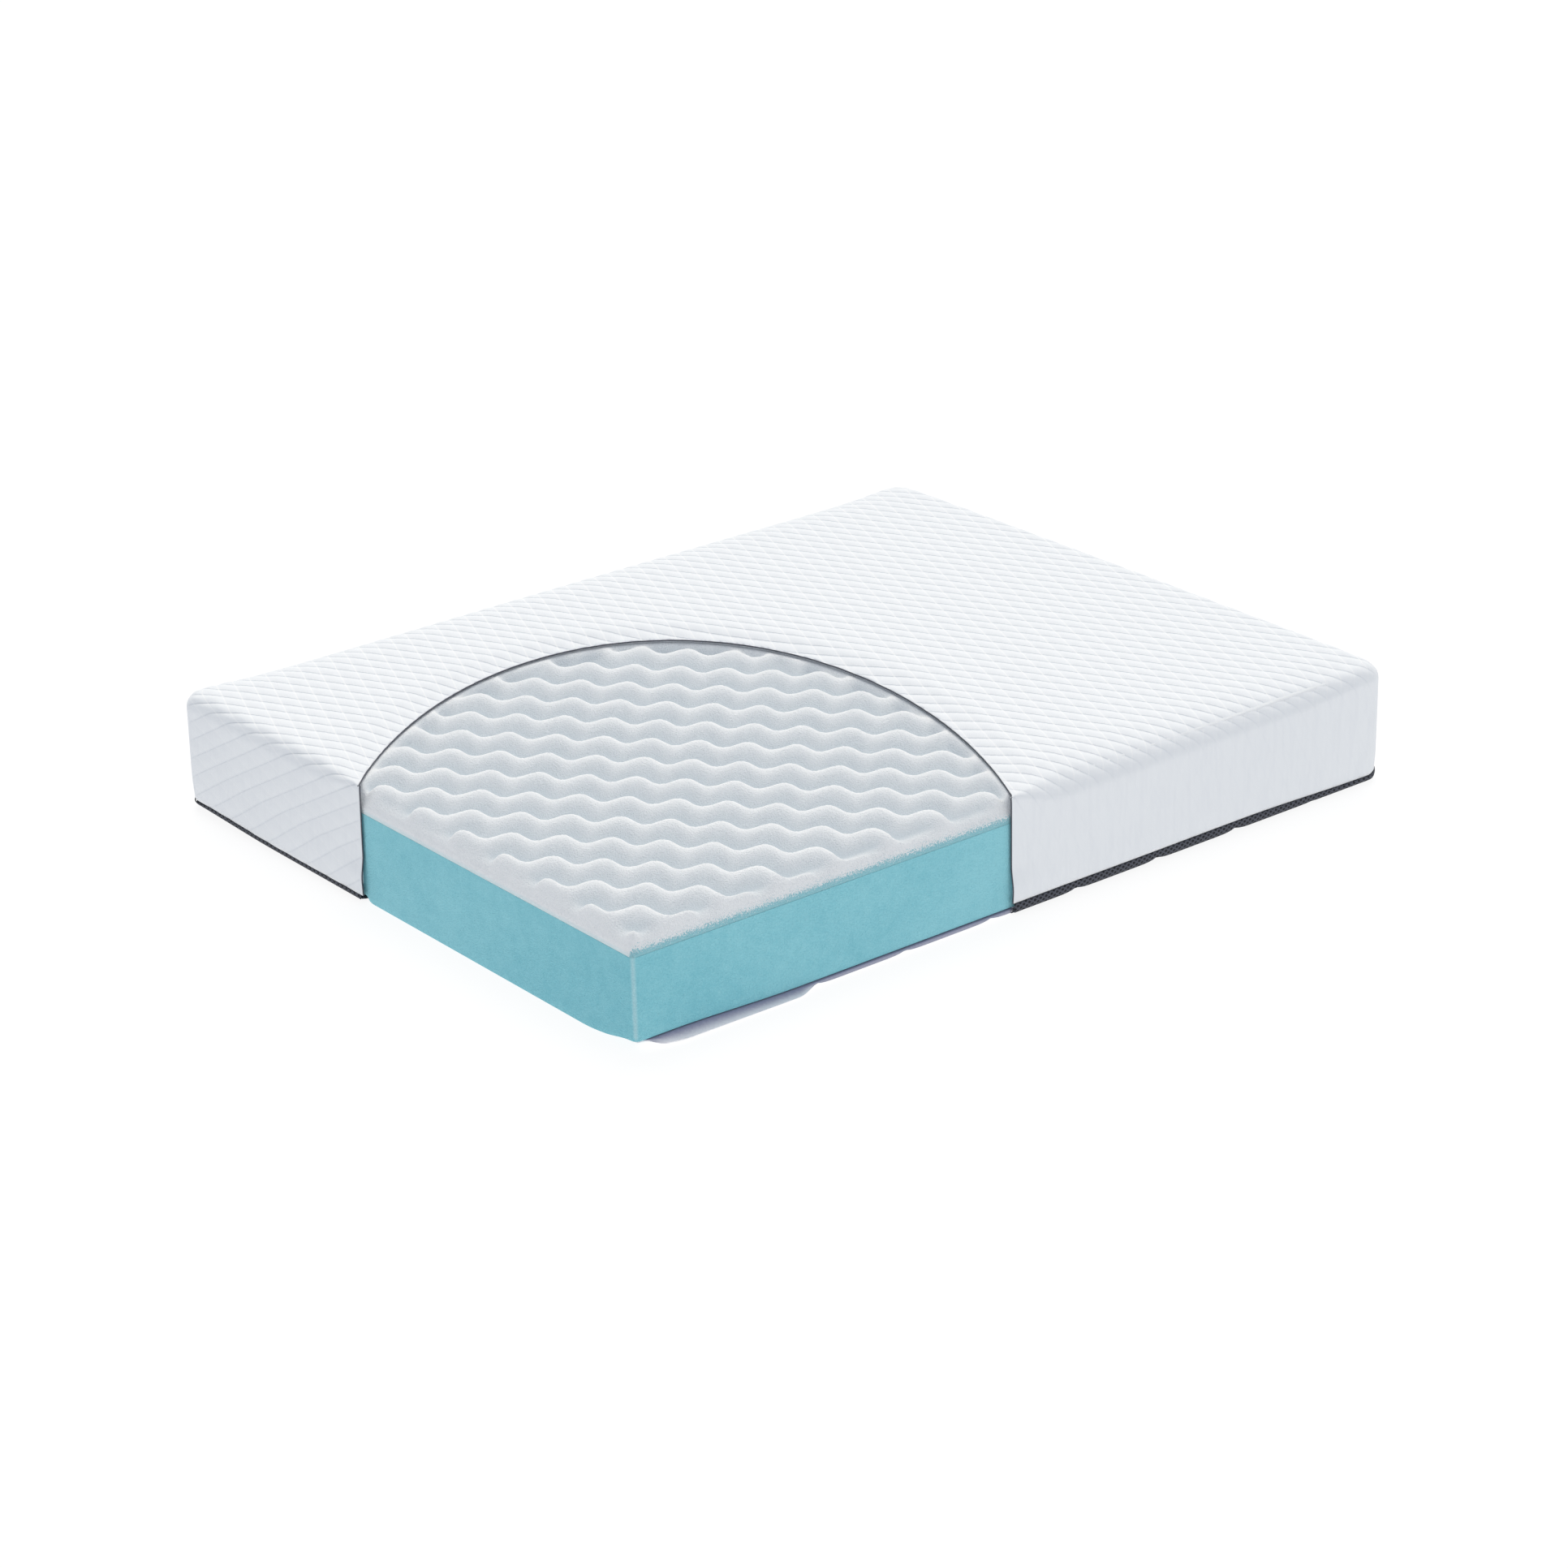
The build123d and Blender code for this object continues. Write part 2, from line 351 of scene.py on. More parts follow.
# two rows of quilting lines that cross, and where they fade
quilt = {"turns": (28.5, -21.7), "steps": (0.0357, 0.0368), "puff": 0.0026, "puffLeast": 0.4,
         "sideFrom": (-0.06, 0.07), "sideLeft": 0.05, "endFrom": (-0.05, 0.03), "endLeft": 0.32,
         "cutFade": 0.012, "cutStart": 0.003, "cornerFrom": (0.015, 0.06), "wander": 0.0012,
         "wanderScale": (4, 4, 6), "wanderShift": 3}
# tones of the knit, with painted shade along the first row of quilting lines and a painted highlight along the
# second
knitLook = {"ground": (0.90, 0.92, 0.94, 1), "combed": (0.878, 0.898, 0.923, 1), "combTint": (0.42, 0.68),
            "sunk": (0.68, 0.715, 0.77, 1), "sunkSharp": 3.4, "sunkShare": 0.9,
            "paintedHighlight": (0.985, 0.99, 0.99, 1), "paintedHighlightSharp": 4.6, "paintedHighlightShare": 0.85,
            "groove": 0.0024, "grooveFull": 0.32, "loopWide": 0.0030, "loopLong": 0.0042, "loopsUp": 0.00010,
            "fuzz": 0.004, "fuzzUp": 0.0002, "combWide": 0.012, "combTall": 0.09, "combUp": 0.0018}
waddingLook = {"from": (0.86, 0.88, 0.90, 1), "to": (0.95, 0.96, 0.97, 1), "flatter": 3,
               "strands": 0.006, "strandsUp": 0.0012, "tufts": 0.036, "tuftsUp": 0.001}
liningLook = {"from": (0.78, 0.80, 0.83, 1), "to": (0.90, 0.91, 0.93, 1),
              "dots": 0.004, "dotsUp": 0.0003, "fibres": 0.002, "fibresUp": 0.0002}
bindingLook = {"from": (0.075, 0.08, 0.10, 1), "to": (0.13, 0.135, 0.16, 1),
               "ribs": 0.0022, "ribsUp": 0.0002, "fuzz": 0.003, "fuzzUp": 0.0002}


def quiltPhases(x, y):
    # angle across each row of quilting, of numbers or of sockets
    angles = [math.radians(turn) for turn in quilt["turns"]]
    return [(x * math.cos(angle) + y * math.sin(angle)) * (math.pi / step)
            for angle, step in zip(angles, quilt["steps"])]


def makeKnitFinish():
    look = knitLook
    finish = Finish("quiltedKnit", {"Sheen Weight": 0.1, "Sheen Roughness": 0.5, "Specular IOR Level": 0.2})
    quilting = finish.attribute("quilting")
    sheet = finish.place("UV")
    u, v = finish.split(sheet)[:2]
    first, second = [abs(phase.sine()) for phase in quiltPhases(u, v)]
    pillow = (first * (0.5 + 0.5 * second)).atLeast(0.0001) ** look["grooveFull"]
    # painted shade along the first row of quilting lines, and a painted highlight along the second
    sunk = 1 - (first * look["sunkSharp"]).atMost(1)
    paintedHighlight = 1 - (second * look["paintedHighlightSharp"]).atMost(1)
    loops = u.wave(look["loopWide"]) * v.wave(look["loopLong"])
    fuzz = finish.grain(sheet, look["fuzz"], 3.0)
    # the plain sides show combed loops
    x, y, z = finish.split(finish.place())
    strokes = finish.join(x / look["combWide"], y / look["combWide"], z / look["combTall"])
    combed = finish.grain(strokes, 1.0, 3.0)
    height = pillow * quilting * look["groove"] + loops * look["loopsUp"] + fuzz * look["fuzzUp"]
    height = height + combed * (1 - quilting) * look["combUp"]
    colour = finish.tint(combed.ease(*look["combTint"]) * (1 - quilting), look["ground"], look["combed"])
    colour = finish.tint(sunk * quilting * look["sunkShare"], colour, look["sunk"])
    colour = finish.tint(paintedHighlight * quilting * look["paintedHighlightShare"], colour, look["paintedHighlight"])
    finish.feed({"Base Color": colour, "Normal": finish.bump(height), "Roughness": 0.82 + fuzz * 0.1})
    return finish


def makeWaddingFinish():
    look = waddingLook
    finish = Finish("wadding", {"Roughness": 0.95, "Sheen Weight": 0.2, "Specular IOR Level": 0.2})
    x, y, z = finish.split(finish.place())
    strands = finish.grain(finish.join(x, y, z * look["flatter"]), look["strands"], 5.0, 0.65)
    tufts = finish.grain(finish.place(), look["tufts"])
    mask = (strands * 0.7 + tufts * 0.5 - 0.1).atLeast(0)
    return finish.paint(mask, look, strands * look["strandsUp"] + tufts * look["tuftsUp"])


def makeLiningFinish():
    look = liningLook
    finish = Finish("lining", {"Roughness": 0.8, "Specular IOR Level": 0.2})
    dots = finish.cells(finish.place(), look["dots"])
    fibres = finish.grain(finish.place(), look["fibres"], 4.0)
    return finish.paint(fibres, look, dots * look["dotsUp"] + fibres * look["fibresUp"])


def makeBindingFinish():
    look = bindingLook
    finish = Finish("edgeBinding", {"Roughness": 0.75, "Specular IOR Level": 0.3})
    x, y, z = finish.split(finish.place())
    ribs = (x - y + z).wave(look["ribs"])
    fuzz = finish.grain(finish.place(), look["fuzz"], 3.0)
    return finish.paint(fuzz + ribs * 0.15, look, ribs * look["ribsUp"] + fuzz * look["fuzzUp"])


def coverRoll(x, y):
    # radius of the top edge: fuller along the sides, tighter at the ends and where the cover is cut
    full = mix(cover["sideEdge"], cover["endEdge"], smooth(*cover["endEdgeFrom"], abs(x)))
    return mix(cover["cutEdge"], full, smooth(0.0, cover["cutEdgeReach"], cutDistance(x, y)))


def hemHeight(x, y):
    # lower edge of the knit: lower at the short ends, and lifted a little at the corners
    if y > 0:
        side, turn = cover["backHem"], cover["backHemFrom"]
    else:
        side, turn = cover["frontHem"], cover["frontHemFrom"]
    lift = cover["cornerRise"] * smooth(*cover["riseAcross"], abs(y)) * smooth(*cover["riseAlong"], abs(x))
    return mix(side, cover["endHem"], smooth(*turn, abs(x))) + lift


def coverShape(inset, cell, top, bottom):
    # a rounded cover without a floor, and the layers that hold the cloth's own flat place
    hx, hy = plan["halfLength"] - inset, plan["halfWidth"] - inset
    bm = openBox(hx, hy, top, bottom, cell)
    across = bm.verts.layers.float.new("quiltX")
    along = bm.verts.layers.float.new("quiltY")
    quilting = bm.verts.layers.float.new("quilting")
    for v in bm.verts:  # kept before the cloth is folded over the edges
        drop = top - v.co.z
        v[across] = v.co.x + math.copysign(drop, v.co.x) * (abs(v.co.x) > hx - 1e-5)
        v[along] = v.co.y + math.copysign(drop, v.co.y) * (abs(v.co.y) > hy - 1e-5)
    wallSlide(bm, hx, hy, plan["corner"] - inset, lambda x, y: coverRoll(x, y) - inset, top)
    return bm, across, along, quilting


def coverSwell(v, top):
    # the crown, less what hangs down towards the long sides
    x, y, z = v.co
    droop = cover["droop"] * (1 - smooth(0.0, cover["droopWide"], plan["halfWidth"] - abs(y)))
    droop *= 1 - cover["droopEndLess"] * smooth(*cover["droopEndFrom"], abs(x))
    droop *= mix(cover["droopCutLeft"], 1, smooth(0.0, cover["pressReach"], cutDistance(x, y)))
    crown = cover["crown"] * (1 - (x ** 2 + y ** 2) / cover["crownSpread"])
    return (crown - droop) * smooth(top - cover["crownDeep"], top, z)


def coverPress(v):
    # the cut edge lies closer to the foam than the rest, on top more than on the walls
    x, y, z = v.co
    near = 1 - smooth(0, cover["pressReach"], cutDistance(x, y))
    flat = smooth(*cover["pressFlat"], v.normal.z) * smooth(0.0, cover["pressRim"], rimDistance(x, y))
    wall = cover["wallPress"] * smooth(*cover["wallPressFrom"], z)
    return near * (cover["press"] * flat + wall * (1 - flat))


def cutChain(edgeVerts):
    # the cut edge in order, from the hem of the long side over the top to the other hem
    left = set(edgeVerts)
    here = min((v for v in left if v.co.y < -cover["longSide"]), key=lambda v: v.co.z)
    line = []
    while here:
        line.append(here)
        left.discard(here)
        onward = [e.other_vert(here) for e in here.link_edges if e.is_boundary and e.other_vert(here) in left]
        here = onward[0] if onward else None
    return line


def makeKnit(finish):
    top = knitHigh[2] - cover["crown"]
    bm, across, along, quilting = coverShape(0, cover["knitCell"], top, cover["backHem"])
    before = {v: v.co.copy() for v in bm.verts}
    edgeVerts = cutCorner(bm)
    for v in edgeVerts:
        v[across] += v.co.x - before[v].x
        v[along] += v.co.y - before[v].y
    for v in bm.verts:
        low = 1 - smooth(cover["backHem"], cover["hemBlend"], v.co.z)
        v.co.z += low * (hemHeight(v.co.x, v.co.y) - cover["backHem"])
    bm.normal_update()
    lift = {}
    for v in bm.verts:
        x, y, z = v.co
        upright = 1 - abs(v.normal.z)
        first, second = quiltPhases(v[across], v[along])
        puff = abs(math.sin(first)) * mix(quilt["puffLeast"], 1, abs(math.sin(second)))
        longSide = smooth(*quilt["sideFrom"], plan["halfWidth"] - abs(v[along]))
        shortEnd = smooth(*quilt["endFrom"], plan["halfLength"] - abs(v[across]))
        fromCorner = max(plan["halfLength"] - abs(x), plan["halfWidth"] - abs(y))
        v[quilting] = mix(quilt["sideLeft"], 1, longSide) * mix(quilt["endLeft"], 1, shortEnd)
        v[quilting] *= smooth(0, quilt["cutFade"], cutDistance(x, y) + quilt["cutStart"])
        v[quilting] *= 1 - upright * (1 - smooth(*quilt["cornerFrom"], fromCorner))
        sx, sy, sz = quilt["wanderScale"]
        wander = noise.noise(Vector((x * sx, y * sy, z * sz + quilt["wanderShift"])))
        hem = cover["hemIn"] * upright * (1 - smooth(cover["endHem"], cover["hemInTop"], z))
        hem -= cover["wallOut"] * upright
        out = quilt["puff"] * puff * v[quilting] + quilt["wander"] * wander * upright - hem - coverPress(v)
        lift[v] = v.normal * out + Vector((0, 0, coverSwell(v, top)))
    for v in bm.verts:
        v.co += lift[v]
    sheet = bm.loops.layers.uv.new("quilt")
    for face in bm.faces:
        for loop in face.loops:
            loop[sheet].uv = (loop.vert[across], loop.vert[along])
    cutLine = [v.co - v.normal * (cover["knitWall"] / 2) for v in cutChain(edgeVerts)]
    piece = addPiece("quiltedKnit", bm, "top_cover", "quilt_knit", finish, "cover_knit")
    addWall(piece, cover["knitWall"], True)
    return cutLine


def makeWadding(finish):
    # fills the space between the knit and the lining, thinner at the cut edge
    low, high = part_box("cover_wadding")
    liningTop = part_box("cover_backing")[1][2]
    top = high[2] - cover["crown"]
    bm = coverShape(plan["halfLength"] - high[0], cover["layerCell"], top, low[2])[0]
    cutCorner(bm, cover["tuckBack"])
    bm.normal_update()
    outside = {v: v.normal * -coverPress(v) + Vector((0, 0, coverSwell(v, top))) for v in bm.verts}
    inside = {}
    for v in bm.verts:
        deep = v.co - v.normal * cover["waddingWall"]
        deep.z = mix(deep.z, liningTop + cover["liningGap"], smooth(*cover["flatInside"], v.normal.z))
        inside[v] = deep
    bmesh.ops.extrude_face_region(bm, geom=bm.faces[:], use_keep_orig=True)
    spots = {tuple(v.co): v for v in inside}
    for v in bm.verts:
        if v not in inside:
            v.co += outside[spots[tuple(v.co)]]
    for v, deep in inside.items():
        v.co = deep
    bmesh.ops.recalc_face_normals(bm, faces=bm.faces)
    piece = addPiece("coverWadding", bm, "top_cover", "wadding", finish, "cover_wadding")


def makeLining(finish):
    # lies on the crests of the foam
    low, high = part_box("cover_backing")
    bm = coverShape(plan["halfLength"] - high[0], cover["layerCell"], high[2], low[2])[0]
    cutCorner(bm, cover["tuckBack"])
    piece = addPiece("coverLining", bm, "top_cover", "lining", finish, "cover_backing")
    addWall(piece, cover["liningWall"])


def makeBinding(cutLine, finish):
    # a cord over the cut edge, from one hem over the top to the other
    bm = bmesh.new()
    bm.from_mesh(tubeAlong(cutLine, cover["cord"]))
    addPiece("cutBinding", bm, "top_cover", "edge_binding", finish, "cover_cut_binding")


# white foam with its wavy ridges
ridges = {"cell": 0.0054, "turn": math.radians(-48.31), "pitch": 0.10038, "start": 0.01865, "swing": 0.01686,
          "wave": 0.10012, "lean": 0.044, "shift": 0.152, "height": 0.020, "fadeFrom": (-0.005, 0.035),
          "edge": 0.024, "back": 0.32, "sharp": 1.5, "corner": 0.0391, "frontCorner": 0.009,
          "fill": 0.024, "fillEnd": (0.03, 0.09), "fillShadeLess": 0.7, "footBlend": 0.012}
# tones of the white foam: valleys painted in shade, crests in the foam's own white
foamLook = {"valleyShade": (0.575, 0.64, 0.69, 1), "crest": (0.95, 0.965, 0.976, 1), "crestWide": 0.75,
            "pores": 0.0032, "poresUp": 0.0008, "fine": 0.0035, "fineUp": 0.0024, "patches": 0.06,
            "dust": (0.30, 0.60, 0.67, 1), "specks": 0.0024, "dustFrom": (0.001, 0.026),
            "haze": (0.40, 0.70, 0.77, 1), "hazeShare": 0.4, "hazeFrom": (0.0005, 0.013), "face": (0.012, 0.006)}
foamLow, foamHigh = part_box("comfort_layer")
ridgeFoot = foamHigh[2] - ridges["height"]


def makeComfortFinish():
    look = foamLook
    finish = Finish("whiteFoam", {"Roughness": 0.9, "Specular IOR Level": 0.15})
    ridgeShading = finish.attribute("ridgeShading")
    place = finish.place()
    x, y, z = finish.split(place)
    pores = finish.cells(place, look["pores"])
    fine = finish.grain(place, look["fine"], 4.0, 0.6)
    patches = finish.grain(place, look["patches"])
    # painted shade in the valleys between the ridges, over random tone from fine grain and patches
    mask = ridgeShading.atLeast(0.0001) ** look["crestWide"] + (fine - 0.5) * 0.5 + (patches - 0.5) * 0.2
    colour = finish.tint(mask.limit(), look["valleyShade"], look["crest"])

    def footOf(across, half, start, stop):
        # a strip along the foot of two opposite walls
        low = 1 - z.ease(foamLow[2] + start, foamLow[2] + stop)
        return low * abs(across).ease(half - look["face"][0], half - look["face"][1])

    # teal dust from the saw at the foot of the long sides, and a haze of it at the short ends
    specks = finish.grain(place, look["specks"], 3.0, 0.7)
    foot = footOf(y, foamHigh[1], *look["dustFrom"])
    dust = ((specks - 0.5) * 7 + foot * 2.3 - 0.6).limit() * foot.above(0.001)
    colour = finish.tint(dust, colour, look["dust"])
    haze = footOf(x, foamHigh[0], *look["hazeFrom"]) * look["hazeShare"]
    colour = finish.tint(haze, colour, look["haze"])
    finish.feed({"Base Color": colour, "Normal": finish.bump(pores * look["poresUp"] + fine * look["fineUp"])})
    return finish


def ridgeRise(x, y):
    # 1 on a crest, 0 in a valley
    c, s = math.cos(ridges["turn"]), math.sin(ridges["turn"])
    a, b = x + plan["halfLength"], y + plan["halfWidth"]
    run = a * c + b * s
    line = b * c - a * s
    sway = 2 * math.pi * (run + ridges["lean"] * line) / ridges["wave"] + ridges["shift"]
    phase = (line - ridges["swing"] * math.cos(sway) - ridges["start"]) / ridges["pitch"] % 1
    back = ridges["back"]  # a ridge is steeper behind its crest than before it
    turned = 0.5 * phase / back if phase < back else 0.5 + 0.5 * (phase - back) / (1 - back)
    return (0.5 + 0.5 * math.cos(2 * math.pi * turned)) ** ridges["sharp"]


def ridgeFade(x, y):
    inward = min(foamHigh[0] - abs(x), foamHigh[1] - abs(y))
    return smooth(*ridges["fadeFrom"], inward)


def ridgeFill(x, y):
    # the valleys run out under the cut edge of the cover
    far = cutDistance(x, y)
    return smooth(-ridges["fill"], 0.0, far) * (1 - smooth(*ridges["fillEnd"], far))


def makeComfort(finish):
    hx, hy = foamHigh[:2]
    bm = openBox(hx, hy, ridgeFoot, foamLow[2], ridges["cell"])
    wallSlide(bm, hx, hy, ridges["corner"], ridges["edge"], ridgeFoot, ridges["frontCorner"])
    ridgeShading = bm.verts.layers.float.new("ridgeShading")
    for v in bm.verts:
        x, y, z = v.co
        fade, crest, filled = ridgeFade(x, y), ridgeRise(x, y), ridgeFill(x, y)
        # painted valley shade: none on crests or near the foam's edges, less where a valley fills under the cut
        # edge
        v[ridgeShading] = 1 - fade * (1 - crest) * (1 - ridges["fillShadeLess"] * filled)
        high = crest * fade + (1 - crest * fade) * filled
        v.co.z += ridges["height"] * high * smooth(ridgeFoot - ridges["footBlend"], ridgeFoot, z)
    closeRim(bm)
    piece = addPiece("waveFoam", bm, "mattress_base", "white_foam", finish, "comfort_layer")


# teal block, and the glue on top of it
core = {"cell": 0.01, "corner": 0.0391, "frontCorner": 0.0125, "lower": 0.005, "sharp": math.radians(50),
        "blend": 0.12, "freeFrom": (-0.014, -0.002), "sag": 0.0125, "sagEnd": (0.02, 0.055),
        "sagSide": (0.02, 0.17), "lift": 0.009, "liftEnd": (0.08, 0.40), "liftSide": (0.0, 0.10)}
# tones of the teal foam, and a paler tone that paints a highlight along the upright corners of the near end
coreLook = {"deep": (0.232, 0.60, 0.69, 1), "pale": (0.325, 0.71, 0.79, 1), "cornerHighlight": (0.66, 0.86, 0.88, 1),
            "pores": 0.0028, "poresUp": 0.0008, "fine": 0.0035, "fineUp": 0.0020, "clouds": 0.22, "mottle": 0.028,
            "farFrom": (0.25, 1.1), "cornerHighlightFrom": (-0.0105, -0.0074)}
glueLook = {"from": (0.70, 0.74, 0.72, 1), "to": (0.86, 0.88, 0.86, 1), "beads": 0.02, "beadsUp": 0.0004}
coreLow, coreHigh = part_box("support_core")


def makeCoreFinish():
    look = coreLook
    finish = Finish("tealFoam", {"Roughness": 0.88, "Specular IOR Level": 0.2})
    place = finish.place()
    x, y = finish.split(place)[:2]
    pores = finish.cells(place, look["pores"])
    fine = finish.grain(place, look["fine"], 4.0, 0.6)
    clouds = finish.grain(place, look["clouds"], 3.0)
    mottle = finish.grain(place, look["mottle"])
    far = (x - coreLow[0] + y - coreLow[1]).ease(*look["farFrom"])  # paler away from the front corner
    tone = (clouds - 0.5) * 1.1 + (mottle - 0.5) * 0.9 + (fine - 0.5) * 1.7
    teal = finish.tint((tone + far * 0.5 + 0.45).limit(), look["deep"], look["pale"])
    # painted highlight along the upright corners of the near end
    corner = abs(x) - coreHigh[0] + abs(y) - coreHigh[1]
    cornerHighlight = corner.ease(*look["cornerHighlightFrom"]) * (1 - x.above(0))
    colour = finish.tint(cornerHighlight * (0.25 + fine * 0.4), teal, look["cornerHighlight"])
    finish.feed({"Base Color": colour, "Normal": finish.bump(pores * look["poresUp"] + fine * look["fineUp"])})
    return finish


def makeGlueFinish():
    finish = Finish("glue", {"Roughness": 0.3})
    beads = finish.grain(finish.place(), glueLook["beads"], 4.0, 0.6)
    return finish.paint(beads, glueLook, beads * glueLook["beadsUp"])


def coreUnder(x, y):
    # the edge over the cut base hangs down at the short end and is raised at the front corner
    fromEnd, fromSide = x - coreLow[0], y - coreLow[1]
    free = 1 - smooth(*core["freeFrom"], cutDistance(x, y))
    lift = core["lift"] * (1 - smooth(*core["liftEnd"], fromEnd)) * (1 - smooth(*core["liftSide"], fromSide))
    sag = core["sag"] * (1 - smooth(*core["sagEnd"], fromEnd)) * smooth(*core["sagSide"], fromSide) * free
    return lift - sag


def makeCore(finish):
    hx, hy = coreHigh[:2]
    bm = openBox(hx, hy, 0.0, coreLow[2] - coreHigh[2], core["cell"])  # made upside down
    wallSlide(bm, hx, hy, core["corner"], core["lower"], 0.0, core["frontCorner"])
    closeRim(bm)
    bmesh.ops.scale(bm, vec=(1, 1, -1), verts=bm.verts)
    bmesh.ops.translate(bm, vec=(0, 0, coreLow[2]), verts=bm.verts)
    bmesh.ops.recalc_face_normals(bm, faces=bm.faces)
    for v in bm.verts:
        v.co.z += (1 - smooth(0.0, core["blend"], v.co.z - coreLow[2])) * coreUnder(v.co.x, v.co.y)
    piece = addPiece("tealBlock", bm, "mattress_base", "teal_foam", finish, "support_core")
    piece.data.set_sharp_from_angle(angle=core["sharp"])


# base: the form that its layers share
base = {"cellX": 0.009, "cellY": 0.02, "inset": 0.0085, "corner": 0.0475, "tongueWide": 0.045, "curl": 0.016,
        "rimLift": 0.0082, "rimNotch": 0.006, "notchSharp": 4, "notchFrom": (0.62, 0.74), "notchLess": 0.8,
        "cornerRise": 0.007, "riseAcross": (0.45, 0.8), "riseAlong": (0.965, 0.998), "bends": 9, "longRun": 0.5}


def channelFloor(x, lift):
    drop = (channels["depth"] + channels["rest"]) * channelDrop(x)
    return max(lift, lift + channels["depth"] - drop)


def rimRise(x, y):
    # the base curls up at its rim, a little more at the sewn lines and the corners
    notch = base["rimNotch"] * (1 - channelDrop(x)) ** base["notchSharp"]
    notch *= 1 - base["notchLess"] * smooth(*base["notchFrom"], abs(x))
    corner = base["cornerRise"] * smooth(*base["riseAcross"], abs(y)) * smooth(*base["riseAlong"], abs(x))
    return base["rimLift"] + notch + corner


def baseFloor(x, y, lift):
    floor = channelFloor(x, lift)
    return floor + max(0.0, rimRise(x, y) + lift - floor) * (1 - smooth(0.0, base["curl"], rimDistance(x, y)))


def panelGrid(hx, hy, corner):
    # rows lie closer towards the long sides
    bm = bmesh.new()
    columns, rows = round(2 * hx / base["cellX"]), round(2 * hy / base["cellY"])
    bmesh.ops.create_grid(bm, x_segments=columns, y_segments=rows, size=1)
    for v in bm.verts:
        v.co = (hx * v.co.x, hy * math.sin(math.pi / 2 * v.co.y), 0)
    wallSlide(bm, hx, hy, corner, 0.0, 1.0)
    return bm


def tuck(bm, depthEnd, depthSide, tongue=None):
    # inside the cutaway a layer stops short of the long side and the short end, where a tongue may run on
    gone = []
    for f in bm.faces:
        middle = f.calc_center_median()
        if cutDistance(middle.x, middle.y) < 0:
            byEdge = tongue and middle.y < base["tongueWide"] - plan["halfWidth"]
            if (middle.x < (tongue if byEdge else depthEnd) - plan["halfLength"]
                    or middle.y < depthSide - plan["halfWidth"]):
                gone.append(f)
    bmesh.ops.delete(bm, geom=gone, context="FACES")


def ringLoop(hx, hy, corner, z, cell):
    # one face with rounded corners and its rim in short steps, in order
    bm = bmesh.new()
    bmesh.ops.create_grid(bm, x_segments=1, y_segments=1, size=1)
    bmesh.ops.scale(bm, vec=(hx, hy, 1), verts=bm.verts)
    bmesh.ops.bevel(bm, geom=bm.verts[:], offset=corner, segments=base["bends"], profile=0.5, affect="VERTICES",
                    material=-1)
    for e in bm.edges[:]:
        if e.calc_length() > base["longRun"]:
            bmesh.ops.subdivide_edges(bm, edges=[e], cuts=round(e.calc_length() / cell))
    bmesh.ops.translate(bm, vec=(0, 0, z), verts=bm.verts)
    return bm


def openRing(hx, hy, corner, low, high, rows, cell):
    # a band round the mattress, open where the corner is cut away
    bm = ringLoop(hx, hy, corner, low, cell)
    bmesh.ops.delete(bm, geom=bm.faces[:], context="FACES_ONLY")
    gone = [v for v in bm.verts if not pastCut(v.co.x, v.co.y)]
    bmesh.ops.delete(bm, geom=gone, context="VERTS")
    rim = bm.edges[:]
    for row in range(rows):
        made = bmesh.ops.extrude_edge_only(bm, edges=rim)["geom"]
        rim = [e for e in made if isinstance(e, bmesh.types.BMEdge) and all(v in made for v in e.verts)]
        upper = list({v for e in rim for v in e.verts})
        bmesh.ops.translate(bm, vec=(0, 0, (high - low) / rows), verts=upper)
    bmesh.ops.recalc_face_normals(bm, faces=bm.faces)
    bm.normal_update()
    first = next(iter(bm.faces))
    if first.normal.dot(first.calc_center_median()) < 0:
        bmesh.ops.reverse_faces(bm, faces=bm.faces)
        bm.normal_update()
    return bm


# mesh panel sewn in channels, with one thread on each sewn line
panel = {"wall": 0.0022, "inset": 0.0012, "corner": 0.0465, "tuckEnd": 0.10, "tuckSide": 0.05,
         "ripple": 0.0004, "rippleScale": 9}
seams = {"thick": 0.0006, "step": 0.01, "steps": 78, "below": 0.0004, "tuckSide": 0.055, "clear": 0.01}
meshLook = {"from": (0.085, 0.09, 0.112, 1), "to": (0.008, 0.009, 0.012, 1), "laid": 0.7, "holeLong": 0.0150,
            "holeHigh": 0.0105, "holeFrom": (0.30, 0.75), "holesDown": 0.0012, "fuzz": 0.003, "fuzzUp": 0.0004}
threadLook = {"from": (0.03, 0.03, 0.036, 1), "to": (0.08, 0.08, 0.095, 1),
              "twist": 0.0012, "twistUp": 0.0001, "slant": 0.6}


def makeMeshFinish():
    look = meshLook
    finish = Finish("darkMesh", {"Roughness": 0.8, "Sheen Weight": 0.1, "Specular IOR Level": 0.3})
    x, y, z = finish.split(finish.place())
    laid = abs(finish.split(finish.place("Normal"))[2]).above(look["laid"])
    run = (x + y) * (math.pi / look["holeLong"])
    up = (z + laid * (x - y)) * (math.pi / look["holeHigh"])
    holes = abs((run + up).sine() * (run - up).sine()).ease(*look["holeFrom"])
    fuzz = finish.grain(finish.place(), look["fuzz"], 3.0)
    mask = (holes * 0.95 + (fuzz - 0.45) * 0.3).limit()
    return finish.paint(mask, look, fuzz * look["fuzzUp"] - holes * look["holesDown"])


def makeThreadFinish():
    look = threadLook
    finish = Finish("thread", {"Roughness": 0.6})
    x, y, z = finish.split(finish.place())
    twist = (y + (x + z) * look["slant"]).wave(look["twist"])
    return finish.paint(twist * 0.5 + 0.5, look, twist * look["twistUp"])


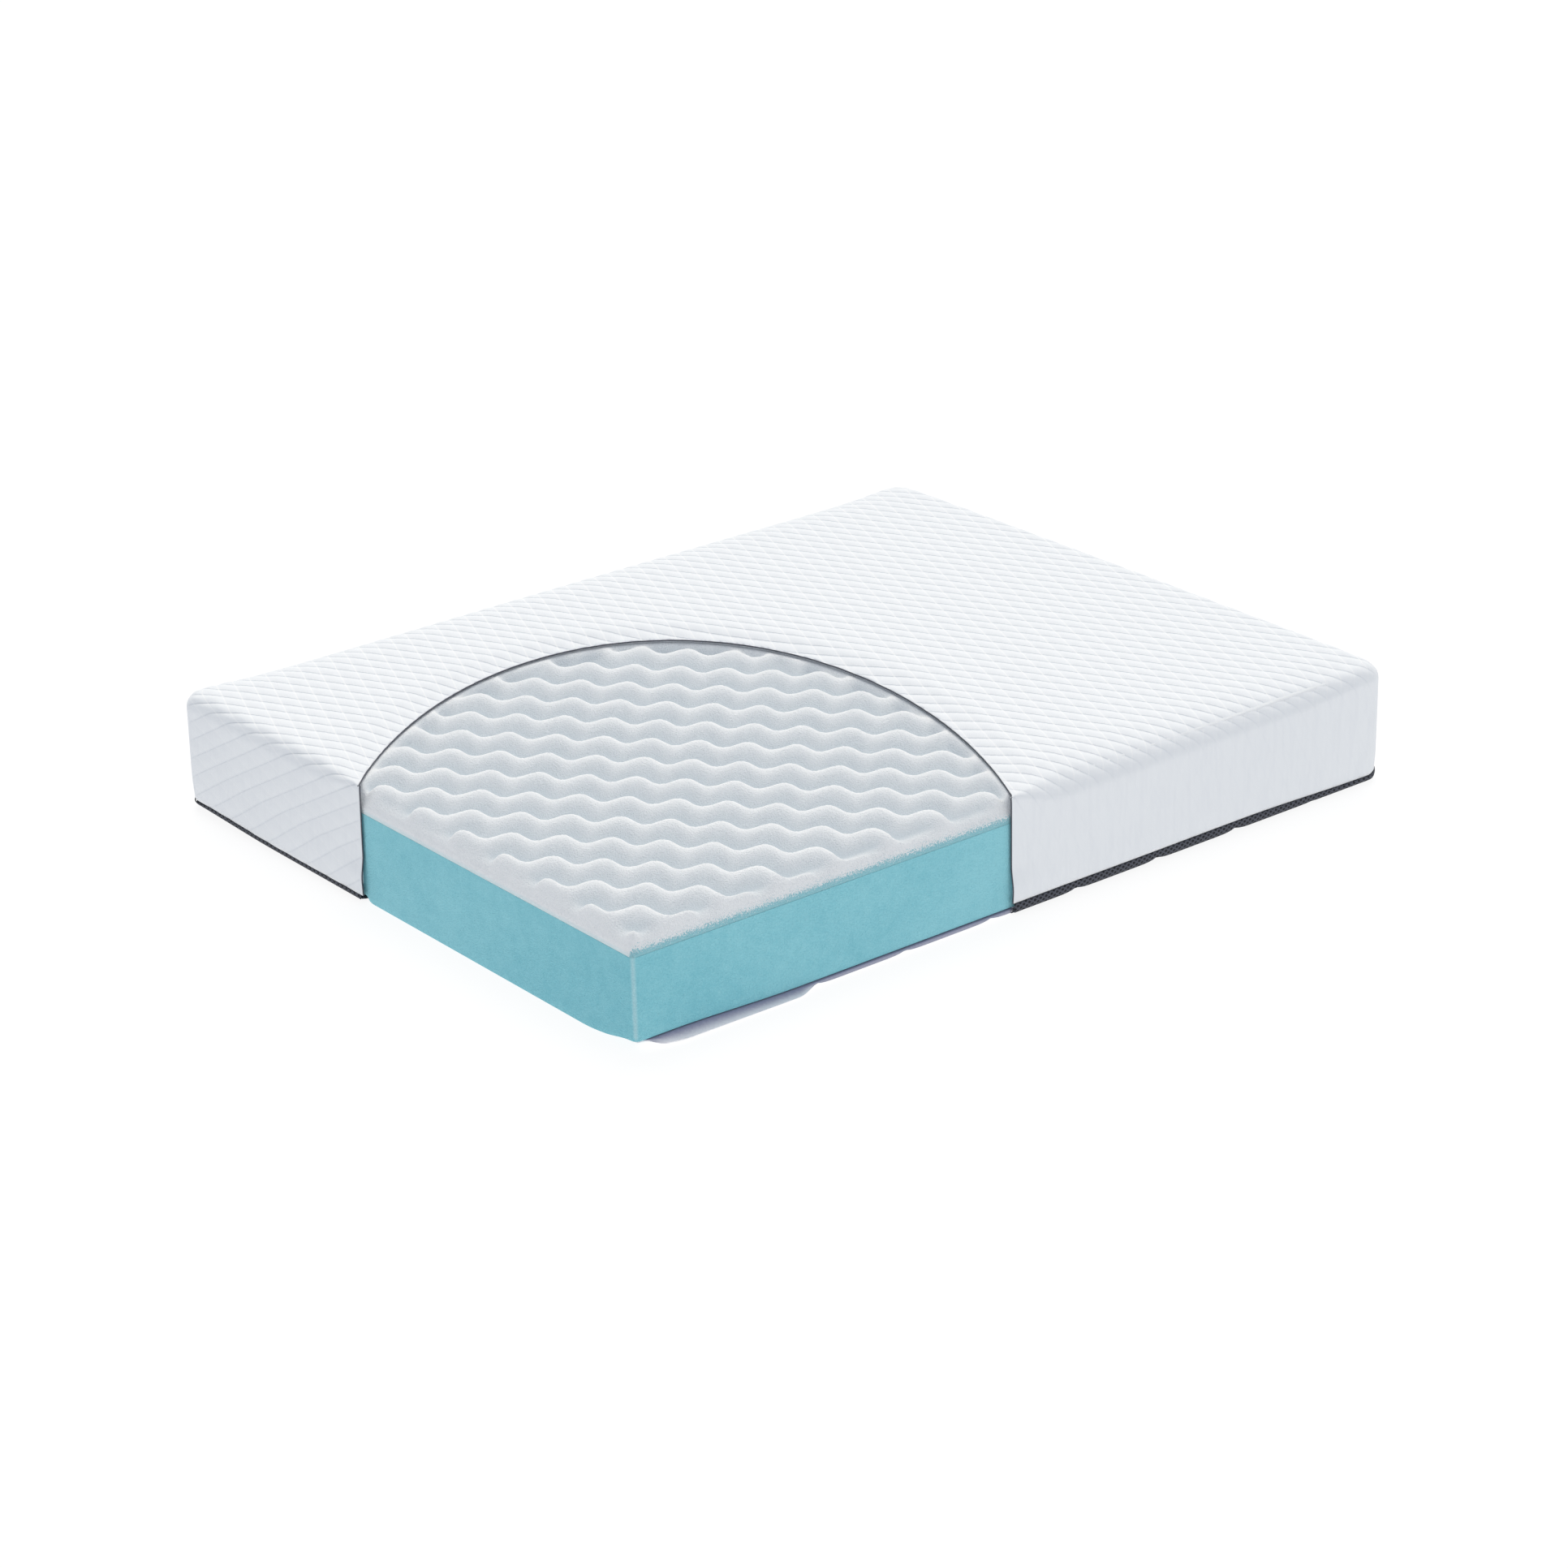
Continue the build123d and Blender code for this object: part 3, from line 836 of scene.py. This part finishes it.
def makeBasePanel(finish):
    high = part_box("base_mesh_panel")[1]
    bm = panelGrid(high[0] - panel["inset"], high[1] - panel["inset"], panel["corner"])
    bmesh.ops.reverse_faces(bm, faces=bm.faces)
    tuck(bm, panel["tuckEnd"], panel["tuckSide"])
    for v in bm.verts:
        ripple = panel["ripple"] * (1 + noise.noise(v.co * panel["rippleScale"]))
        v.co.z = baseFloor(v.co.x, v.co.y, 0) + ripple * (1 - channelDrop(v.co.x))
    piece = addPiece("basePanel", bm, "mattress_base", "dark_mesh", finish, "base_mesh_panel")
    addWall(piece, panel["wall"])


def makeSeams(finish):
    bm = bmesh.new()
    for line in range(1, channels["count"]):
        x = channels["run"] * (line / channels["count"] - 0.5)
        points = []
        for step in range(-seams["steps"], seams["steps"] + 1):
            y = step * seams["step"]
            if y > seams["tuckSide"] - plan["halfWidth"] or cutDistance(x, y) > seams["clear"]:
                points.append(Vector((x, y, baseFloor(x, y, 0) - seams["below"])))
        bm.from_mesh(tubeAlong(points, seams["thick"]))
    addPiece("seamThreads", bm, "mattress_base", "thread", finish, "base_channel_threads")


# filling of the base, with a tongue that shows at the cut corner
fill = {"tuckEnd": 0.075, "tuckSide": -1.0, "tongue": 0.034, "tipBack": 0.004, "tipRun": 0.05, "hangRun": 0.10,
        "hangEnd": (-0.61, -0.555), "edgeWide": 0.04, "freeWide": 0.035, "rimGap": 0.002, "topGap": 0.0012,
        "proud": 0.003, "wallWide": 0.02, "wallCuts": 6, "bulge": 0.004, "swell": 0.018,
        "bulgeFrom": (-0.05, 0.25), "sideShade": 0.75, "sharp": math.radians(60)}
fillLook = {"from": (0.93, 0.93, 0.96, 1), "to": (0.30, 0.30, 0.42, 1), "shadeFrom": (0.22, 1.0),
            "strands": 0.006, "strandsUp": 0.0010}


def makeFillFinish():
    look = fillLook
    finish = Finish("baseFill", {"Roughness": 0.95, "Sheen Weight": 0.2, "Specular IOR Level": 0.2})
    shade = finish.attribute("shade")
    strands = finish.grain(finish.place(), look["strands"], 5.0, 0.65)
    mask = (shade.ease(*look["shadeFrom"]) + (strands - 0.5) * 0.3).limit()
    return finish.paint(mask, look, strands * look["strandsUp"])


def makeBaseFill(finish):
    low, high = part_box("base_wadding")
    wide = high[1] - base["inset"]
    bm = panelGrid(high[0] - base["inset"], wide, base["corner"])
    shade = bm.verts.layers.float.new("shade")
    hang = bm.verts.layers.float.new("hang")
    bmesh.ops.reverse_faces(bm, faces=bm.faces)
    tuck(bm, fill["tuckEnd"], fill["tuckSide"], fill["tongue"])
    tip = fill["tongue"] - plan["halfLength"] - fill["tipBack"]
    for v in bm.verts:
        x, y = v.co.xy
        v.co.z = baseFloor(x, y, low[2])
        if cutDistance(x, y) < 0 and y < fill["edgeWide"] - wide:
            # the cut edge swells out as a tongue from the front corner to the second sewn line
            free = 1 - smooth(0.0, fill["freeWide"], y + wide)
            v[hang] = smooth(tip, tip + fill["hangRun"], x) * (1 - smooth(*fill["hangEnd"], x))
            edge = mix(rimRise(x, y) - fill["rimGap"], channels["rest"], v[hang])
            top = high[2] + coreUnder(x, y) - fill["topGap"]
            edge = mix(edge, top, 1 - smooth(tip, tip + fill["tipRun"], x))
            v.co.z = mix(v.co.z, edge, free)
            v.co.y -= fill["proud"] * free
    made = bmesh.ops.extrude_face_region(bm, geom=bm.faces[:], use_keep_orig=True)["geom"]
    for v in [g for g in made if isinstance(g, bmesh.types.BMVert)]:
        v.co.z = high[2] + max(0.0, coreUnder(v.co.x, v.co.y))
        v[shade] = 1.0
    uprights = [e for e in bm.edges if (e.verts[0].co - e.verts[1].co).xy.length < 1e-6
                and e.verts[0].co.y < fill["wallWide"] - wide and cutDistance(*e.verts[0].co.xy) < 0]
    bmesh.ops.subdivide_edges(bm, edges=uprights, cuts=fill["wallCuts"], use_grid_fill=True)
    for v in bm.verts:
        if v.co.y < -wide and cutDistance(*v.co.xy) < 0:
            out = (1 - v[shade]) * smooth(*fill["bulgeFrom"], v[shade])
            v.co.y -= out * (fill["bulge"] + fill["swell"] * v[hang])
            v[shade] = max(v[shade], fill["sideShade"] * (1 - v[hang]))
    bmesh.ops.recalc_face_normals(bm, faces=bm.faces)
    piece = addPiece("baseFill", bm, "mattress_base", "base_fill", finish, "base_wadding")
    piece.data.set_sharp_from_angle(angle=fill["sharp"])


baseLining = {"tuckEnd": 0.09, "tuckSide": 0.03}


def makeBaseLining(finish):
    low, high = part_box("base_backing")
    hx, hy = high[0] - base["inset"], high[1] - base["inset"]
    bm = panelGrid(hx, hy, base["corner"])
    bmesh.ops.translate(bm, vec=(0, 0, high[2]), verts=bm.verts)
    tuck(bm, baseLining["tuckEnd"], baseLining["tuckSide"])
    spread = sum(f.calc_area() for f in bm.faces)
    piece = addPiece("baseLining", bm, "mattress_base", "lining", finish, "base_backing")
    addWall(piece, high[2] - low[2])


# band round the base, which hides the zip except on the side where the slider runs
band = {"rows": 7, "cell": 0.009, "wall": 0.002, "bulge": 0.002, "bulgeLeast": 0.4, "hemGap": 0.0008,
        "zipFrom": (0.70, 0.76)}


def makeBand(finish):
    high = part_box("base_border")[1]
    bm = openRing(high[0], high[1], plan["corner"], 0.0, 1.0, band["rows"], band["cell"])
    for v in bm.verts:
        x, y, t = v.co
        bottom = rimRise(x, y)
        top = hemHeight(x, y) - band["hemGap"]
        top = mix(top, min(top, high[2]), smooth(*band["zipFrom"], y))
        out = v.normal * band["bulge"] * math.sin(math.pi * t) * mix(band["bulgeLeast"], 1, channelDrop(x))
        v.co = (x + out.x, y + out.y, mix(bottom, top, t))
    piece = addPiece("meshBand", bm, "mattress_base", "dark_mesh", finish, "base_border")
    addWall(piece, band["wall"])


# zip: two tapes, two coils, and the metal that stays as the frame has it
zipper = {"corner": 0.058, "cell": 0.02, "tapeWall": 0.001, "tapeRows": 2, "rimGap": 0.001, "selvedge": 0.0003,
          "pitch": 0.0024, "turnDeep": 0.0026, "turnRadius": 0.0008, "turnSides": 6}
tapeLook = {"from": (0.03, 0.031, 0.038, 1), "to": (0.06, 0.062, 0.074, 1), "weave": 0.0016, "weaveUp": 0.0002}
coilLook = {"from": (0.03, 0.031, 0.037, 1), "to": (0.075, 0.077, 0.088, 1), "wear": 0.01}
metalLook = {"from": (0.16, 0.165, 0.175, 1), "to": (0.42, 0.43, 0.45, 1), "scuffs": 0.0012, "scuffsUp": 0.00003}


def makeTapeFinish():
    look = tapeLook
    finish = Finish("zipTape", {"Roughness": 0.75, "Specular IOR Level": 0.3})
    x, y, z = finish.split(finish.place())
    weave = (x + y + z).wave(look["weave"]) * (x + y - z).wave(look["weave"])
    return finish.paint(weave * 0.5 + 0.5, look, weave * look["weaveUp"])


def makeCoilFinish():
    finish = Finish("zipCoil", {"Specular IOR Level": 0.5})
    wear = finish.grain(finish.place(), coilLook["wear"], 3.0)
    finish.feed({"Base Color": finish.tint(wear, coilLook["from"], coilLook["to"]),
                 "Roughness": 0.3 + wear * 0.25})
    return finish


def makeMetalFinish():
    finish = Finish("zipMetal", {"Metallic": 1.0})
    scuffs = finish.grain(finish.place(), metalLook["scuffs"], 4.0, 0.65)
    finish.feed({"Roughness": 0.25 + scuffs * 0.3})
    return finish.paint(scuffs, metalLook, scuffs * metalLook["scuffsUp"])


def makeTape(name, body, node, coilNode, finish):
    # runs on behind its coil, which is sewn onto it
    low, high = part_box(node)
    coilLow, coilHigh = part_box(coilNode)
    foot = min(low[2], coilLow[2] + zipper["selvedge"])
    head = max(high[2], coilHigh[2] - zipper["selvedge"])
    bm = openRing(high[0], high[1], zipper["corner"], foot, head, zipper["tapeRows"], zipper["cell"])
    for v in bm.verts:
        v.co.z = max(v.co.z, rimRise(v.co.x, v.co.y) + zipper["rimGap"])
    piece = addPiece(name, bm, body, "zip_tape", finish, node)
    addWall(piece, zipper["tapeWall"])


def coilTurn(tall):
    # one turn of a coil, a flattened rod across the tape
    bm = bmesh.new()
    radius = zipper["turnRadius"]
    bmesh.ops.create_cone(bm, cap_ends=True, segments=zipper["turnSides"], radius1=radius, radius2=radius,
                          depth=zipper["turnDeep"])
    bmesh.ops.rotate(bm, cent=(0, 0, 0), matrix=Matrix.Rotation(math.radians(90), 3, "X"), verts=bm.verts)
    bmesh.ops.scale(bm, vec=(1, 1, tall / (2 * radius)), verts=bm.verts)
    bmesh.ops.translate(bm, vec=(zipper["pitch"] / 2, 0, 0), verts=bm.verts)
    mesh = bpy.data.meshes.new("coilTurn")
    bm.to_mesh(mesh)
    bm.free()
    return bpy.data.objects.new("coilTurn", mesh)


def makeCoil(name, body, node, finish):
    low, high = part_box(node)
    half = zipper["turnDeep"] / 2
    bm = ringLoop(high[0] - half, high[1] - half, zipper["corner"], (low[2] + high[2]) / 2, zipper["cell"])
    points = [v.co.copy() for v in next(iter(bm.faces)).verts]
    bm.free()
    # the open line starts behind the cutaway
    clear = [pastCut(p.x, p.y) for p in points]
    first = next(i for i in range(len(points)) if clear[i] and not clear[i - 1])
    points = [p for p in points[first:] + points[:first] if pastCut(p.x, p.y)]
    carrier = routeAlong(points)
    turns = coilTurn(high[2] - low[2])
    scene.collection.objects.link(carrier)
    scene.collection.objects.link(turns)
    row = turns.modifiers.new("row", "ARRAY")
    row.fit_type = "FIT_CURVE"
    row.curve = carrier
    row.use_relative_offset = False
    row.use_constant_offset = True
    row.constant_offset_displace = (zipper["pitch"], 0, 0)
    turns.modifiers.new("follow", "CURVE").object = carrier
    bpy.context.view_layer.update()
    shaped = turns.evaluated_get(bpy.context.evaluated_depsgraph_get())
    bm = bmesh.new()
    bm.from_mesh(bpy.data.meshes.new_from_object(shaped))
    bpy.data.objects.remove(turns)
    bpy.data.objects.remove(carrier)
    addPiece(name, bm, body, "zip_coil", finish, node)


liningFinish, meshFinish = makeLiningFinish(), makeMeshFinish()
tapeFinish, coilFinish, metalFinish = makeTapeFinish(), makeCoilFinish(), makeMetalFinish()

cutLine = makeKnit(makeKnitFinish())
makeWadding(makeWaddingFinish())
makeLining(liningFinish)
makeBinding(cutLine, makeBindingFinish())
print("cover made")

makeComfort(makeComfortFinish())
makeCore(makeCoreFinish())
dressNode("bond_film", makeGlueFinish())
print("foams made")

makeBasePanel(meshFinish)
makeBaseFill(makeFillFinish())
makeBaseLining(liningFinish)
makeBand(meshFinish)
makeSeams(makeThreadFinish())
print("base made")

makeTape("upperZipTape", "top_cover", "upper_zip_tape", "upper_zip_coil", tapeFinish)
makeTape("lowerZipTape", "mattress_base", "lower_zip_tape", "lower_zip_coil", tapeFinish)
makeCoil("upperZipCoil", "top_cover", "upper_zip_coil", coilFinish)
makeCoil("lowerZipCoil", "mattress_base", "lower_zip_coil", coilFinish)
dressNode("zip_slider", metalFinish)
dressNode("zip_pull", metalFinish)
print("zip made")

# floor, light and camera
studio = {"sky": 0.57, "skyTint": (0.84, 0.90, 1.0, 1), "glow": 0.90, "floor": 0.14, "floorHalf": 150,
          "floorGap": 0.0005, "lamps": (
              ("softSun", 1.93, 50.0, (0.55, 0.66, 1.15), (1.0, 0.94, 0.84)),
              ("fillSun", 0.22, 40.0, (0.25, -0.8, 0.75), (1.0, 0.95, 0.85)))}
picture = {"spot": (-5.0801, -6.4700, 3.5390), "aim": (0.0232, 0.0315, 0.0), "roll": -1.49, "lens": 96.11,
           "sensor": 36.0, "far": 500.0}


def makeStudio():
    bm = bmesh.new()
    bmesh.ops.create_grid(bm, x_segments=4, y_segments=4, size=studio["floorHalf"])
    bmesh.ops.translate(bm, vec=(0, 0, -studio["floorGap"]), verts=bm.verts)
    mesh = bpy.data.meshes.new("floor")
    bm.to_mesh(mesh)
    bm.free()
    floor = bpy.data.objects.new("floor", mesh)
    scene.collection.objects.link(floor)
    paint = Finish("floorPaint", {"Base Color": (studio["floor"],) * 3 + (1,), "Roughness": 1.0,
                                  "Specular IOR Level": 0.0, "Emission Color": (1, 1, 1, 1),
                                  "Emission Strength": studio["glow"]})
    mesh.materials.append(paint.material)
    world = bpy.data.worlds.new("studio")
    world.use_nodes = True
    back = world.node_tree.nodes["Background"]
    back.inputs["Color"].default_value = studio["skyTint"]
    back.inputs["Strength"].default_value = studio["sky"]
    scene.world = world
    for name, energy, soft, fromSpot, colour in studio["lamps"]:
        lamp = bpy.data.lights.new(name, "SUN")
        lamp.energy = energy
        lamp.angle = math.radians(soft)
        lamp.color = colour
        sun = bpy.data.objects.new(name, lamp)
        sun.rotation_euler = Vector(fromSpot).to_track_quat("Z", "Y").to_euler()
        scene.collection.objects.link(sun)
    scene.view_settings.view_transform = "Standard"


def makeCamera():
    lens = bpy.data.cameras.new("camera")
    lens.sensor_width = picture["sensor"]
    lens.lens = picture["lens"]
    lens.clip_end = picture["far"]
    camera = bpy.data.objects.new("camera", lens)
    spot = Vector(picture["spot"])
    aim = Vector(picture["aim"]) - spot
    turn = aim.to_track_quat("-Z", "Y").to_matrix().to_4x4()
    roll = Matrix.Rotation(math.radians(picture["roll"]), 4, "Z")
    camera.matrix_world = Matrix.Translation(spot) @ turn @ roll
    scene.collection.objects.link(camera)
    scene.camera = camera


makeStudio()
makeCamera()
print("studio made")
